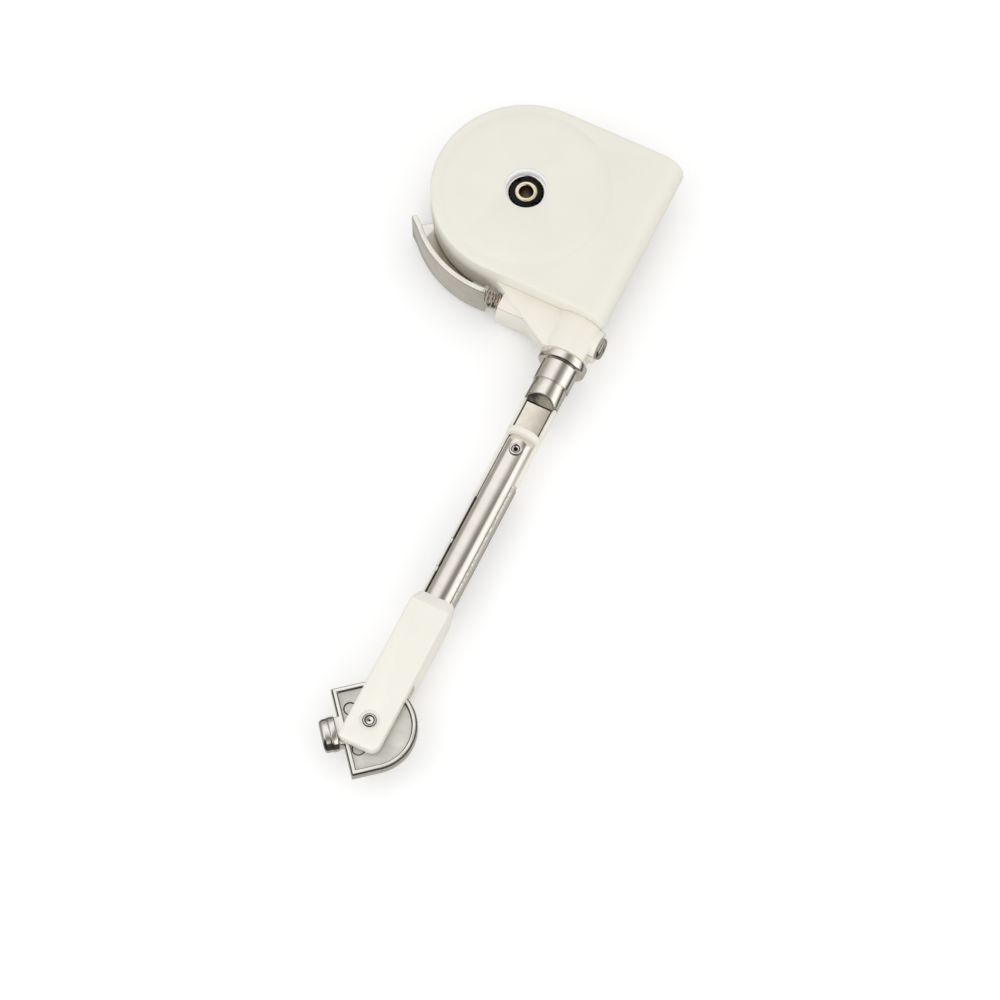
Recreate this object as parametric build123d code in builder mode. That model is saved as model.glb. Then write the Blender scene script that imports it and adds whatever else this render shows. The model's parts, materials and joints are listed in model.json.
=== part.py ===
"""Damped lid stay: a swinging housing, a telescopic arm and a stud end bracket.

Frame: the origin is the swing axis on the back (mounting) face, +Z points out of
the face of the housing, and the arm runs along -Y on the +X side of the axis.
All sizes are in millimetres, all angles in degrees.
"""
from build123d import *
import math
import os

os.makedirs("parts", exist_ok=True)

# ---------------------------------------------------------------- clearances
run_gap = 0.08             # radial running clearance of a shaft in its bore
fit_gap = 0.03             # gap round a piece that is pressed or screwed home
face_gap = 0.10            # gap between flat faces that slide on each other
damper_gap = 0.30          # gap that the damper grease fills

# ---------------------------------------------------------------- housing
housing_r = 27.3           # round end, about the swing axis
housing_right = 37.2       # arm side, from the swing axis
side_round_r = 6.8         # long rounding over the arm side
face_z = 19.7              # outer face of the cover
seam_z = 11.7              # joint between the cover and the rear case
case_back_z = 5.5          # back of the rear case
case_inset = 0.35          # the rear case stands inside the cover's outline
case_side_inset = 1.5      # and further in on the arm side
shell_wall = 1.9
rim_round = 1.0            # rounding of the cover's edge
lip_wall = 0.6             # inner lip that centres the cover on the case
lip_height = 1.3
lip_side_inset = 2.3       # the lip clears the long rounding
dial_r = 24.1              # raised round field on the face
dial_rise = 0.35
dial_step = 0.08           # upright part of the field's border
dial_slope = 3.5           # width of the sloped part
face_hole_r = 6.35
post_r = 1.6               # screw posts inside the cover
post_side_x = 30.6
post_side_y = 19.4
post_left_gap = 0.15       # the two left posts stand this far off the damper
post_left_angle = 35.0     # either side of -X
case_screw_r = 0.9
case_screw_head_r = 1.9
case_screw_head_h = 1.0
case_screw_len = 9.0

# ---------------------------------------------------------------- mounting plate and hub
plate_size = 42.0
plate_corner_r = 11.0
plate_t = 2.0
plate_hole_pitch = 28.0
plate_hole_r = 2.1         # clearance hole for a 4 mm wood screw
plate_sink_r = 3.6
plate_sink_angle = 90
plate_edge_chamfer = 0.4
hub_foot_z = 0.3
hub_spigot_r = 6.0
hub_flange_r = 11.0
hub_flange_t = 1.3
hub_bore_r = 2.3
journal_r = 8.0
drive_r = 6.9              # toothed drive of the post
drive_teeth = 12
drive_tooth_h = 0.7
hub_top_z = 15.0
bush_r = 3.2
bush_bore_r = 2.0          # M4 thread, cut in the bush
bush_len = 9.0
bush_top_z = 18.2
bush_chamfer = 0.3
adjuster_r = 4.92
adjuster_teeth = 24
adjuster_tooth_h = 0.45
adjuster_top_z = 17.6
adjuster_notch = (2.2, 1.3, 0.9)   # along the radius, across, deep
adjuster_notch_angle = -35.0

# ---------------------------------------------------------------- damper
chassis_inset = 0.2        # its round part, inside the damper's outline
chassis_t = 1.2
chassis_tab_w = 33.0       # tab towards the arm
chassis_slot = (14.0, 3.0)
chassis_slot_x = 26.5
chassis_slot_y = 9.0
chassis_corner_r = 2.0
damper_inset = 6.3         # outside of the damper, inside the round end
damper_wall = 2.6
damper_floor_t = 1.2
damper_depth = 5.8
damper_cap_t = 1.5
damper_cap_chamfer = 0.4
damper_screw_count = 4
damper_screw_r = 0.8
damper_screw_head_r = 1.25
damper_screw_head_h = 0.8
damper_screw_depth = 4.0
rotor_drum_r = 11.2
vane_angle = 18.0
stator_angle = 20.0
stator_turn = 40.0         # centre of a fixed wall at rest
bearing_ring_r = 9.2
bearing_ring_bore_r = 5.0
bearing_ring_t = 1.2
bearing_ring_chamfer = 0.25

# ---------------------------------------------------------------- release lever and spring
lever_stand = 5.2          # outside of the rim, from the round end of the housing
lever_flare = 0.7          # the thumb end is bent out by this much
lever_flare_angle = 6.5
lever_t = 1.6
lever_web_t = 1.5
lever_rim_bottom_z = 1.7
lever_rim_top_z = 14.4
lever_start = 216.5        # thumb end of the rim, from +X
lever_end = 274.6          # spring end of the rim
lever_web_start = 213.5
lever_web_end = 262.0
lever_ring_r = 13.5
lever_lug_depth = 4.2      # the spring lug reaches this far in
lever_lug_t = 1.4
lever_lug_bottom_z = 4.4
lever_lug_top_z = 11.0
spring_z = 7.6
spring_inset = 1.585       # foot of the spring, inside the rim
spring_lead = 0.56         # and past its end, as an angle
spring_turn = 8.5          # direction of the spring, from +X
spring_coil_r = 2.05       # to the centre of the wire
spring_wire_r = 0.3
spring_wire_sides = 6
spring_pitch = 0.82
spring_len = 7.5
pocket_r = 2.65
pocket_depth = 4.4

# ---------------------------------------------------------------- arm socket
arm_x = 31.1
arm_z = 9.4
boss_r = 7.5               # at the collar; the boss grows towards the case
boss_root_r = 8.2
boss_root_x = 29.6
boss_root_z = 7.55
boss_bore_r = 4.6
boss_bore_end_y = -28.4
socket_end_y = -39.2
socket_side_x = 36.5       # flat right side of the socket
socket_root = 1.8          # how far the socket reaches into the round end
facet_z = 14.2             # flat top of the web between the case and the boss
ridge_start_x = 4.0
ridge_end_x = 24.4
web_bottom_z = 7.4
web_inner_x = 9.0          # where the web grows deeper, inside the seat block
web_relief_x = 16.4        # underside of the web rises from here to the boss
web_relief_z = 3.2
web_relief_end_x = 24.0
web_relief_end_z = 8.6
seat_left_x = 7.3          # spring seat block
seat_foot_x = 6.5
seat_stand = 6.5           # front of the block, from the round end
seat_right_x = 16.4
seat_top_z = 12.0
seat_bottom_z = 1.6
clamp_y = -31.6
clamp_boss_r = 4.8
clamp_boss_x = 38.2
clamp_screw_r = 1.9
clamp_screw_tip_x = 29.6
clamp_head_r = 3.2
clamp_head_h = 1.5
clamp_head_round = 0.9
cross_slot = (3.6, 0.9, 0.8)       # long, wide, deep

# ---------------------------------------------------------------- arm
spigot_end_y = -28.9
collar_r = 7.1
collar_t = 2.8
collar_chamfer = 0.5
rod_r = 5.45
rod_len = 6.2
neck_r = 5.1
neck_len = 6.4
neck_crest_y = -53.2       # slanted end of the neck: its crest
neck_foot_y = -55.5        # and its foot on the blade
neck_edge_round = 0.7
blade_w = 8.0
blade_t = 2.6
blade_end_y = -64.6        # shoulder that stops the guide
tongue_w = 5.8
tongue_top = 0.45          # above the arm's axis
tongue_bottom = 1.3        # below it
tongue_end_y = -118.0
tongue_slot_w = 3.7
tongue_slot_y = (-68.2, -114.8)

# ---------------------------------------------------------------- guide and front tube
guide_r = 5.1
guide_top_y = -54.7
guide_floor_y = -56.3
window_end_y = -64.8
guide_step_y = -66.4
tail_right_y = -80.0
tail_left_y = -87.3
flank_top = 0.2            # above the arm's axis
flank_hole_r = 0.6
flank_hole_y = -76.6
flank_hole_z = 1.2         # below the arm's axis
tube_half_w = 3.95
tube_wall = 0.6
tube_arc_r = 4.6
tube_crown = 2.4           # above the arm's axis
tube_shoulder = 0.1
tube_depth = 3.0           # sides, below the arm's axis
tube_end_y = -132.0
tube_corner_chamfer = 1.3
tube_rivet_y = -70.5
tube_rivet_r = 1.9
tube_rivet_bore_r = 0.65
tube_rivet_body_r = 1.45
tube_rivet_head_h = 0.45

# ---------------------------------------------------------------- outer channel and grip
channel_half_w = 4.75
channel_wall = 0.7
channel_top = 0.7          # above the arm's axis
channel_bottom = 3.9       # below it
channel_lip = 0.2
channel_lip_t = 0.25
channel_right_y = -80.1
channel_left_y = -87.4
channel_end_y = -142.0
channel_slots_y = (-102.1, -111.3)
channel_slot = (1.4, 0.9)          # along the arm, deep
grip_w = 11.6
grip_front = 6.4           # above and below the arm's axis
grip_edge_round = 0.9
grip_mouth_y = -119.9
grip_nose_y = -123.8       # full section from here
grip_mouth_w = 10.6
grip_mouth_top = 3.3
grip_mouth_bottom = 5.0
grip_mouth_round = 2.4
grip_end_y = -168.0
grip_right_r = 2.7
grip_left_r = 1.0
fork_root_y = -145.1
fork_gap = 0.2             # each side of the bracket
spot_face_r = 2.85
spot_face_depth = 0.3

# ---------------------------------------------------------------- end bracket
pivot_x = 31.3
pivot_y = -160.6
pivot_r = 1.5
pivot_head_r = 1.95
pivot_head_h = 0.5
pivot_dimple_r = 1.35      # conical dimple in the head
pivot_dimple_foot_r = 0.3
pivot_dimple = 0.4
washer_r = 4.6
bracket_r = 12.9
bracket_edge = 8.1         # from the pivot to the straight edge
bracket_turn = 219.8       # direction of the stud, from +X
bracket_t = 4.0
bracket_band_t = 2.4       # middle band that stands out round the edge
bracket_band_step = 0.35
bracket_rim_w = 1.2
bracket_recess = 0.8
ejector_r = 1.75
ejector_step = 0.2
ejector_at = ((24.2, -158.5), (31.4, -167.7))
stud_offset = 0.5          # from the pivot's line, towards the left corner
stud_neck_w = 8.2          # flat neck, as thick as the plate
stud_neck_len = 1.2
stud_flange_r = 4.85
stud_flange_end = 2.95     # from the straight edge
stud_r = 4.65
stud_len = 5.3
stud_head_chamfer = 0.6

# ---------------------------------------------------------------- worked-out heights
flange_top_z = plate_t + hub_flange_t
lever_web_z = flange_top_z + face_gap
case_floor_z = case_back_z + shell_wall
chassis_top_z = case_floor_z + chassis_t
cup_floor_z = chassis_top_z + damper_floor_t
cup_top_z = chassis_top_z + damper_depth
cap_top_z = cup_top_z + damper_cap_t
cover_inner_z = face_z - shell_wall
bush_foot_z = bush_top_z - bush_len
collar_end_y = socket_end_y - collar_t
rod_end_y = collar_end_y - rod_len
neck_end_y = rod_end_y - neck_len
chassis_tab_x = housing_right - case_side_inset - shell_wall - 2 * face_gap
damper_r = housing_r - damper_inset
chassis_r = damper_r - chassis_inset
post_left_r = damper_r + post_r + post_left_gap
socket_root_y = socket_root - housing_r
seat_front_y = -housing_r - seat_stand
lever_r = housing_r + lever_stand
lug_angle = math.degrees(lever_lug_t / lever_r)
reach = 200.0              # longer than any cut needs


def polar(radius, angle):
    """Point at a radius and an angle about the swing axis."""
    return (radius * math.cos(math.radians(angle)), radius * math.sin(math.radians(angle)))


spring_plane = Plane(
    origin=(*polar(lever_r - spring_inset, lever_end + spring_lead), spring_z),
    z_dir=(*polar(1, spring_turn), 0),
)


def section_plane(y):
    """Plane across the arm at y: its x is the part's X, its y is Z."""
    return Plane(origin=(arm_x, y, arm_z), x_dir=(1, 0, 0), z_dir=(0, -1, 0))


def housing_outline(inset, side_inset):
    """Round end, straight top and bottom, and the flat arm side."""
    r = housing_r - inset
    right = housing_right - side_inset
    with BuildSketch() as outline:
        with BuildLine():
            ThreePointArc((0, r), (-r, 0), (0, -r))
            Polyline((0, -r), (right, -r), (right, r), (0, r))
        make_face()
    return outline.sketch


def side_round(inset, face):
    """What the long rounding takes off the arm side, drawn in X and Z."""
    right = housing_right - inset
    r = side_round_r - inset
    with BuildSketch(Plane.XZ) as corner:
        with BuildLine():
            Line((right - r, face), (right, face))
            Line((right, face), (right, face - r))
            RadiusArc((right, face - r), (right - r, face), -r)
        make_face()
    return corner.sketch


def sector(radius, angle, width):
    """Slice of a circle, centred on an angle."""
    start = polar(radius, angle - width / 2)
    end = polar(radius, angle + width / 2)
    with BuildSketch() as slice_face:
        with BuildLine():
            Line((0, 0), start)
            ThreePointArc(start, polar(radius, angle), end)
            Line(end, (0, 0))
        make_face()
    return slice_face.sketch


def draw_teeth(tip_r, tooth_h, teeth, gap):
    """Ring of square teeth between the root and the tip, with a gap at each flank."""
    with PolarLocations(tip_r - tooth_h / 2, teeth):
        Rectangle(tooth_h, math.pi * tip_r / teeth - gap)


# ---------------------------------------------------------------- mounting plate and hub
with BuildPart() as mounting_plate:
    with BuildSketch():
        RectangleRounded(plate_size, plate_size, plate_corner_r)
    extrude(amount=plate_t)
    chamfer(mounting_plate.edges().group_by(Axis.Z)[-1], plate_edge_chamfer)
    with BuildSketch():
        Circle(hub_spigot_r + fit_gap)
    extrude(amount=plate_t, mode=Mode.SUBTRACT)
    with Locations((0, 0, plate_t)):
        with GridLocations(plate_hole_pitch, plate_hole_pitch, 2, 2):
            CounterSinkHole(plate_hole_r, plate_sink_r, counter_sink_angle=plate_sink_angle)
mounting_plate.part.label = "mounting_plate"

with BuildPart() as hub_post:
    with BuildSketch(Plane.XZ):
        with BuildLine():
            Polyline(
                (hub_bore_r, hub_foot_z), (hub_spigot_r, hub_foot_z), (hub_spigot_r, plate_t),
                (hub_flange_r, plate_t), (hub_flange_r, flange_top_z),
                (journal_r, flange_top_z), (journal_r, cup_floor_z),
                (drive_r - drive_tooth_h, cup_floor_z), (drive_r - drive_tooth_h, hub_top_z),
                (bush_r + fit_gap, hub_top_z), (bush_r + fit_gap, bush_foot_z),
                (hub_bore_r, bush_foot_z), close=True,
            )
        make_face()
    revolve(axis=Axis.Z)
    with BuildSketch(Plane.XY.offset(cup_floor_z)):
        Circle(drive_r - drive_tooth_h + fit_gap)
        draw_teeth(drive_r, drive_tooth_h, drive_teeth, 0)
        Circle(bush_r + drive_tooth_h, mode=Mode.SUBTRACT)
    extrude(amount=hub_top_z - cup_floor_z)
hub_post.part.label = "hub_post"

with BuildPart() as threaded_bush:
    with BuildSketch(Plane.XY.offset(bush_foot_z)):
        Circle(bush_r)
        Circle(bush_bore_r, mode=Mode.SUBTRACT)
    extrude(amount=bush_len)
    chamfer(threaded_bush.edges().group_by(Axis.Z)[-1], bush_chamfer)
threaded_bush.part.label = "threaded_bush"

with BuildPart() as adjuster_ring:
    with BuildSketch(Plane.XY.offset(hub_top_z)):
        Circle(adjuster_r - adjuster_tooth_h + fit_gap)
        draw_teeth(adjuster_r, adjuster_tooth_h, adjuster_teeth, 0)
        Circle(bush_r + fit_gap, mode=Mode.SUBTRACT)
    extrude(amount=adjuster_top_z - hub_top_z)
    with BuildSketch(Plane.XY.offset(adjuster_top_z)):
        with PolarLocations(adjuster_r, 2, start_angle=adjuster_notch_angle):
            Rectangle(adjuster_notch[0], adjuster_notch[1])
    extrude(amount=-adjuster_notch[2], mode=Mode.SUBTRACT)
adjuster_ring.part.label = "adjuster_ring"

# ---------------------------------------------------------------- damper
with BuildPart() as damper_rotor:
    with BuildSketch(Plane.XY.offset(cup_floor_z + face_gap)):
        Circle(rotor_drum_r)
        add(sector(damper_r - damper_wall - damper_gap, 0, vane_angle))
        add(sector(damper_r - damper_wall - damper_gap, 180, vane_angle))
        Circle(drive_r - drive_tooth_h + 2 * fit_gap, mode=Mode.SUBTRACT)
        with PolarLocations(drive_r - drive_tooth_h / 2, drive_teeth):
            Rectangle(
                drive_tooth_h + 2 * fit_gap, math.pi * drive_r / drive_teeth + 2 * fit_gap,
                mode=Mode.SUBTRACT,
            )
    extrude(amount=damper_depth - damper_floor_t - 2 * face_gap)
damper_rotor.part.label = "damper_rotor"

with BuildPart() as damper_cup:
    with BuildSketch(Plane.XY.offset(chassis_top_z)):
        Circle(damper_r)
        Circle(journal_r + run_gap, mode=Mode.SUBTRACT)
    extrude(amount=damper_floor_t)
    with BuildSketch(Plane.XY.offset(chassis_top_z)):
        Circle(damper_r)
        Circle(damper_r - damper_wall, mode=Mode.SUBTRACT)
    extrude(amount=damper_depth)
    with BuildSketch(Plane.XY.offset(chassis_top_z)):
        add(sector(damper_r - damper_wall / 2, stator_turn, stator_angle))
        add(sector(damper_r - damper_wall / 2, stator_turn + 180, stator_angle))
        Circle(rotor_drum_r + damper_gap, mode=Mode.SUBTRACT)
    extrude(amount=damper_depth)
    with Locations((0, 0, cup_top_z)):
        with PolarLocations(damper_r - damper_wall / 2, damper_screw_count):
            Hole(damper_screw_r + fit_gap, depth=damper_screw_depth)
damper_cup.part.label = "damper_cup"

with BuildPart() as damper_cap:
    with BuildSketch(Plane.XY.offset(cup_top_z)):
        Circle(damper_r)
    extrude(amount=damper_cap_t)
    chamfer(damper_cap.edges().group_by(Axis.Z)[-1], damper_cap_chamfer)
    with BuildSketch(Plane.XY.offset(cup_top_z)):
        Circle(drive_r + damper_gap)
    extrude(amount=damper_cap_t, mode=Mode.SUBTRACT)
    with Locations((0, 0, cap_top_z)):
        with PolarLocations(damper_r - damper_wall / 2, damper_screw_count):
            Hole(damper_screw_r + fit_gap)
damper_cap.part.label = "damper_cap"

with BuildPart() as damper_screws:
    with BuildSketch(Plane.XY.offset(cap_top_z)):
        with PolarLocations(damper_r - damper_wall / 2, damper_screw_count):
            Circle(damper_screw_head_r)
    extrude(amount=damper_screw_head_h)
    with BuildSketch(Plane.XY.offset(cap_top_z)):
        with PolarLocations(damper_r - damper_wall / 2, damper_screw_count):
            Circle(damper_screw_r)
    extrude(amount=-(damper_cap_t + damper_screw_depth - damper_gap))
damper_screws.part.label = "damper_screws"

with BuildPart() as bearing_washer:
    with BuildSketch(Plane.XY.offset(cover_inner_z - bearing_ring_t)):
        Circle(bearing_ring_r)
        Circle(bearing_ring_bore_r, mode=Mode.SUBTRACT)
    extrude(amount=bearing_ring_t)
    chamfer(
        bearing_washer.edges().group_by(Axis.Z)[-1].sort_by(SortBy.RADIUS)[0],
        bearing_ring_chamfer,
    )
bearing_washer.part.label = "bearing_washer"

with BuildPart() as chassis_plate:
    with BuildSketch(Plane.XY.offset(case_floor_z)):
        Circle(chassis_r)
        with Locations((chassis_tab_x / 2, 0)):
            RectangleRounded(chassis_tab_x, chassis_tab_w, chassis_corner_r)
        Circle(journal_r + run_gap, mode=Mode.SUBTRACT)
        with Locations((chassis_slot_x, chassis_slot_y), (chassis_slot_x, -chassis_slot_y)):
            SlotOverall(chassis_slot[0], chassis_slot[1], mode=Mode.SUBTRACT)
    extrude(amount=chassis_t)
chassis_plate.part.label = "chassis_plate"

# ---------------------------------------------------------------- housing shells
left_posts = [
    polar(post_left_r, 180 - post_left_angle),
    polar(post_left_r, 180 + post_left_angle),
]
post_points = left_posts + [(post_side_x, post_side_y), (post_side_x, -post_side_y)]

with BuildPart() as cover_hollow:
    with BuildSketch(Plane.XY.offset(seam_z)):
        add(housing_outline(shell_wall, shell_wall))
    extrude(amount=cover_inner_z - seam_z)
    extrude(
        side_round(shell_wall, cover_inner_z), amount=reach, both=True, mode=Mode.SUBTRACT
    )

with BuildPart() as front_cover:
    with BuildSketch(Plane.XY.offset(seam_z)):
        add(housing_outline(0, 0))
    extrude(amount=face_z - seam_z)
    extrude(side_round(0, face_z), amount=reach, both=True, mode=Mode.SUBTRACT)
    fillet(
        front_cover.edges().group_by(Axis.Z)[-1].filter_by(GeomType.CIRCLE), rim_round
    )
    with BuildSketch(Plane.XZ):
        with BuildLine():
            Polyline(
                (0, cover_inner_z), (dial_r, cover_inner_z), (dial_r, face_z + dial_step),
                (dial_r - dial_slope, face_z + dial_rise), (0, face_z + dial_rise), close=True,
            )
        make_face()
    revolve(axis=Axis.Z)
    add(cover_hollow.part, mode=Mode.SUBTRACT)
    with BuildSketch(Plane.XY.offset(case_floor_z + face_gap)):
        with Locations(*post_points):
            Circle(post_r)
    extrude(amount=cover_inner_z - case_floor_z - face_gap)
    with BuildSketch(Plane.XY.offset(case_floor_z)):
        with Locations(*post_points):
            Circle(case_screw_r + fit_gap)
    extrude(amount=case_screw_len, mode=Mode.SUBTRACT)
    with Locations((0, 0, face_z + dial_rise)):
        Hole(face_hole_r)
front_cover.part.label = "front_cover"

with BuildPart() as socket_boss:
    with BuildSketch(section_plane(socket_root_y)):
        with Locations((boss_root_x - arm_x, boss_root_z - arm_z)):
            Circle(boss_root_r)
    with BuildSketch(section_plane(socket_end_y)):
        Circle(boss_r)
    loft()
    split(bisect_by=Plane.YZ.offset(socket_side_x), keep=Keep.BOTTOM)
    split(bisect_by=Plane.XY.offset(seat_bottom_z), keep=Keep.TOP)

with BuildPart() as rear_case:
    with BuildSketch(Plane.XZ.offset(-socket_root_y)):
        with BuildLine():
            Polyline(
                (ridge_start_x, web_bottom_z), (web_inner_x, web_bottom_z),
                (web_inner_x, web_relief_z), (web_relief_x, web_relief_z),
                (web_relief_end_x, web_relief_end_z), (arm_x, web_relief_end_z),
                (arm_x, facet_z), (ridge_start_x, facet_z), close=True,
            )
        make_face()
    extrude(amount=socket_root_y - socket_end_y)
    with BuildSketch():
        with BuildLine():
            Polyline(
                (ridge_start_x, socket_root_y), (ridge_start_x, -housing_r),
                (ridge_end_x, socket_end_y), (arm_x, socket_end_y), (arm_x, socket_root_y),
                close=True,
            )
        make_face()
    extrude(amount=face_z, mode=Mode.INTERSECT)
    with BuildSketch(Plane.XY.offset(case_back_z)):
        add(housing_outline(case_inset, case_side_inset))
    extrude(amount=seam_z - case_back_z)
    add(socket_boss.part)
    with BuildSketch(Plane.XZ.offset(-socket_root_y)):
        with BuildLine():
            Polyline(
                (seat_foot_x, seat_bottom_z), (seat_left_x, seat_top_z),
                (seat_right_x, seat_top_z), (seat_right_x, seat_bottom_z), close=True,
            )
        make_face()
    extrude(amount=socket_root_y - seat_front_y)
    with BuildSketch(Plane.YZ.offset(arm_x)):
        with Locations((clamp_y, arm_z)):
            Circle(clamp_boss_r)
    extrude(amount=clamp_boss_x - arm_x)
    with BuildSketch(Plane.XY.offset(seam_z)):
        with Locations((0, -housing_r - fit_gap)):
            Rectangle(reach, reach, align=(Align.CENTER, Align.MIN))
    extrude(amount=face_z, mode=Mode.SUBTRACT)
    with BuildSketch(Plane.XY.offset(case_floor_z)):
        add(housing_outline(case_inset + shell_wall, case_side_inset + shell_wall))
    extrude(amount=face_z, mode=Mode.SUBTRACT)
    with BuildSketch(Plane.XY.offset(seam_z - lip_height)):
        add(housing_outline(shell_wall + face_gap, lip_side_inset))
        add(
            housing_outline(shell_wall + face_gap + lip_wall, lip_side_inset + lip_wall),
            mode=Mode.SUBTRACT,
        )
    extrude(amount=2 * lip_height)
    with Locations((0, 0, case_floor_z)):
        Hole(journal_r + run_gap, depth=shell_wall)
    with Locations(*[Location((x, y, case_back_z), (180, 0, 0)) for x, y in post_points]):
        CounterSinkHole(case_screw_r + fit_gap, case_screw_head_r + fit_gap, depth=shell_wall)
    with BuildSketch(section_plane(boss_bore_end_y)):
        Circle(boss_bore_r)
    extrude(amount=boss_bore_end_y - socket_end_y, mode=Mode.SUBTRACT)
    with BuildSketch(Plane.YZ.offset(clamp_screw_tip_x)):
        with Locations((clamp_y, arm_z)):
            Circle(clamp_screw_r + fit_gap)
    extrude(amount=clamp_boss_x - clamp_screw_tip_x, mode=Mode.SUBTRACT)
    with BuildSketch(spring_plane.offset(spring_len - pocket_depth)):
        Circle(pocket_r)
    extrude(amount=pocket_depth, mode=Mode.SUBTRACT)
rear_case.part.label = "rear_case"

with BuildPart() as case_screws:
    with Locations(*[(x, y, case_back_z) for x, y in post_points]):
        Cone(
            case_screw_head_r, case_screw_r, case_screw_head_h,
            align=(Align.CENTER, Align.CENTER, Align.MIN),
        )
        Cylinder(
            case_screw_r, case_screw_len, align=(Align.CENTER, Align.CENTER, Align.MIN)
        )
case_screws.part.label = "case_screws"

with BuildPart() as clamp_screw:
    with BuildSketch(Plane.YZ.offset(clamp_boss_x)):
        with Locations((clamp_y, arm_z)):
            Circle(clamp_head_r)
    extrude(amount=clamp_head_h)
    fillet(clamp_screw.edges().group_by(Axis.X)[-1], clamp_head_round)
    with BuildSketch(Plane.YZ.offset(clamp_boss_x + clamp_head_h)):
        with Locations((clamp_y, arm_z)):
            Rectangle(cross_slot[0], cross_slot[1])
            Rectangle(cross_slot[1], cross_slot[0])
    extrude(amount=-cross_slot[2], mode=Mode.SUBTRACT)
    with BuildSketch(Plane.YZ.offset(clamp_screw_tip_x)):
        with Locations((clamp_y, arm_z)):
            Circle(clamp_screw_r)
    extrude(amount=clamp_boss_x - clamp_screw_tip_x)
clamp_screw.part.label = "clamp_screw"

# ---------------------------------------------------------------- release lever and spring
flare_angle = lever_start + lever_flare_angle

with BuildPart() as release_lever:
    with BuildSketch(Plane.XY.offset(lever_web_z)):
        add(sector(
            lever_r - lever_t / 2, (lever_web_start + lever_web_end) / 2,
            lever_web_end - lever_web_start,
        ))
        Circle(lever_ring_r)
        Circle(journal_r + run_gap, mode=Mode.SUBTRACT)
    extrude(amount=lever_web_t)
    with BuildSketch(Plane.XY.offset(lever_rim_bottom_z)):
        add(sector(lever_r, (flare_angle + lever_end) / 2, lever_end - flare_angle))
        Circle(lever_r - lever_t, mode=Mode.SUBTRACT)
        with BuildLine():
            Polyline(
                polar(lever_r, flare_angle), polar(lever_r + lever_flare, lever_start),
                polar(lever_r + lever_flare - lever_t, lever_start),
                polar(lever_r - lever_t, flare_angle), close=True,
            )
        make_face()
    extrude(amount=lever_rim_top_z - lever_rim_bottom_z)
    with BuildSketch(Plane.XY.offset(lever_lug_bottom_z)):
        add(sector(lever_r - lever_t / 2, lever_end - lug_angle / 2, lug_angle))
        Circle(lever_r - lever_lug_depth, mode=Mode.SUBTRACT)
    extrude(amount=lever_lug_top_z - lever_lug_bottom_z)
release_lever.part.label = "release_lever"

with BuildPart() as lever_spring:
    with BuildLine() as spring_line:
        Helix(
            spring_pitch, spring_len - 2 * spring_wire_r - 2 * face_gap, spring_coil_r,
            center=spring_plane.offset(spring_wire_r).origin, direction=spring_plane.z_dir,
        )
    with BuildSketch(Plane(origin=spring_line.line @ 0, z_dir=spring_line.line % 0)):
        RegularPolygon(spring_wire_r, spring_wire_sides)
    sweep()
lever_spring.part.label = "lever_spring"

# ---------------------------------------------------------------- arm
with BuildPart() as arm_rod:
    with BuildSketch(Plane.XY.offset(arm_z)):
        with BuildLine():
            Polyline(
                (arm_x, spigot_end_y), (arm_x + boss_bore_r - fit_gap, spigot_end_y),
                (arm_x + boss_bore_r - fit_gap, socket_end_y),
                (arm_x + collar_r, socket_end_y),
                (arm_x + collar_r, collar_end_y + collar_chamfer),
                (arm_x + collar_r - collar_chamfer, collar_end_y),
                (arm_x + rod_r, collar_end_y), (arm_x + rod_r, rod_end_y),
                (arm_x + neck_r, rod_end_y), (arm_x + neck_r, blade_end_y),
                (arm_x, blade_end_y), close=True,
            )
        make_face()
    revolve(axis=Axis((arm_x, 0, arm_z), (0, 1, 0)))
    with BuildSketch(Plane.YZ.offset(arm_x)):
        with BuildLine():
            Polyline(
                (neck_foot_y, arm_z + blade_t / 2), (neck_crest_y, arm_z + neck_r),
                (neck_crest_y, arm_z + boss_r), (blade_end_y, arm_z + boss_r),
                (blade_end_y, arm_z + blade_t / 2), close=True,
            )
        make_face()
        mirror(about=Plane.XZ.offset(-arm_z))
    extrude(amount=boss_r, both=True, mode=Mode.SUBTRACT)
    with BuildSketch(section_plane(neck_end_y)):
        Rectangle(2 * boss_r, 2 * boss_r)
        Rectangle(blade_w, 2 * boss_r, mode=Mode.SUBTRACT)
    extrude(amount=neck_end_y - blade_end_y, mode=Mode.SUBTRACT)
    fillet(arm_rod.edges().filter_by(GeomType.ELLIPSE), neck_edge_round)
    with BuildSketch(section_plane(blade_end_y + collar_chamfer)):
        with Locations((0, (tongue_top - tongue_bottom) / 2)):
            Rectangle(tongue_w, tongue_top + tongue_bottom)
    extrude(amount=blade_end_y + collar_chamfer - tongue_end_y)
    with BuildSketch(Plane.XY.offset(arm_z)):
        with Locations((arm_x, (tongue_slot_y[0] + tongue_slot_y[1]) / 2)):
            SlotOverall(tongue_slot_y[0] - tongue_slot_y[1], tongue_slot_w, rotation=90)
    extrude(amount=tongue_bottom, both=True, mode=Mode.SUBTRACT)
    with BuildSketch(Plane.YZ.offset(clamp_screw_tip_x)):
        with Locations((clamp_y, arm_z)):
            Circle(clamp_screw_r + fit_gap)
    extrude(amount=boss_r, mode=Mode.SUBTRACT)
arm_rod.part.label = "arm_rod"

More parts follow.
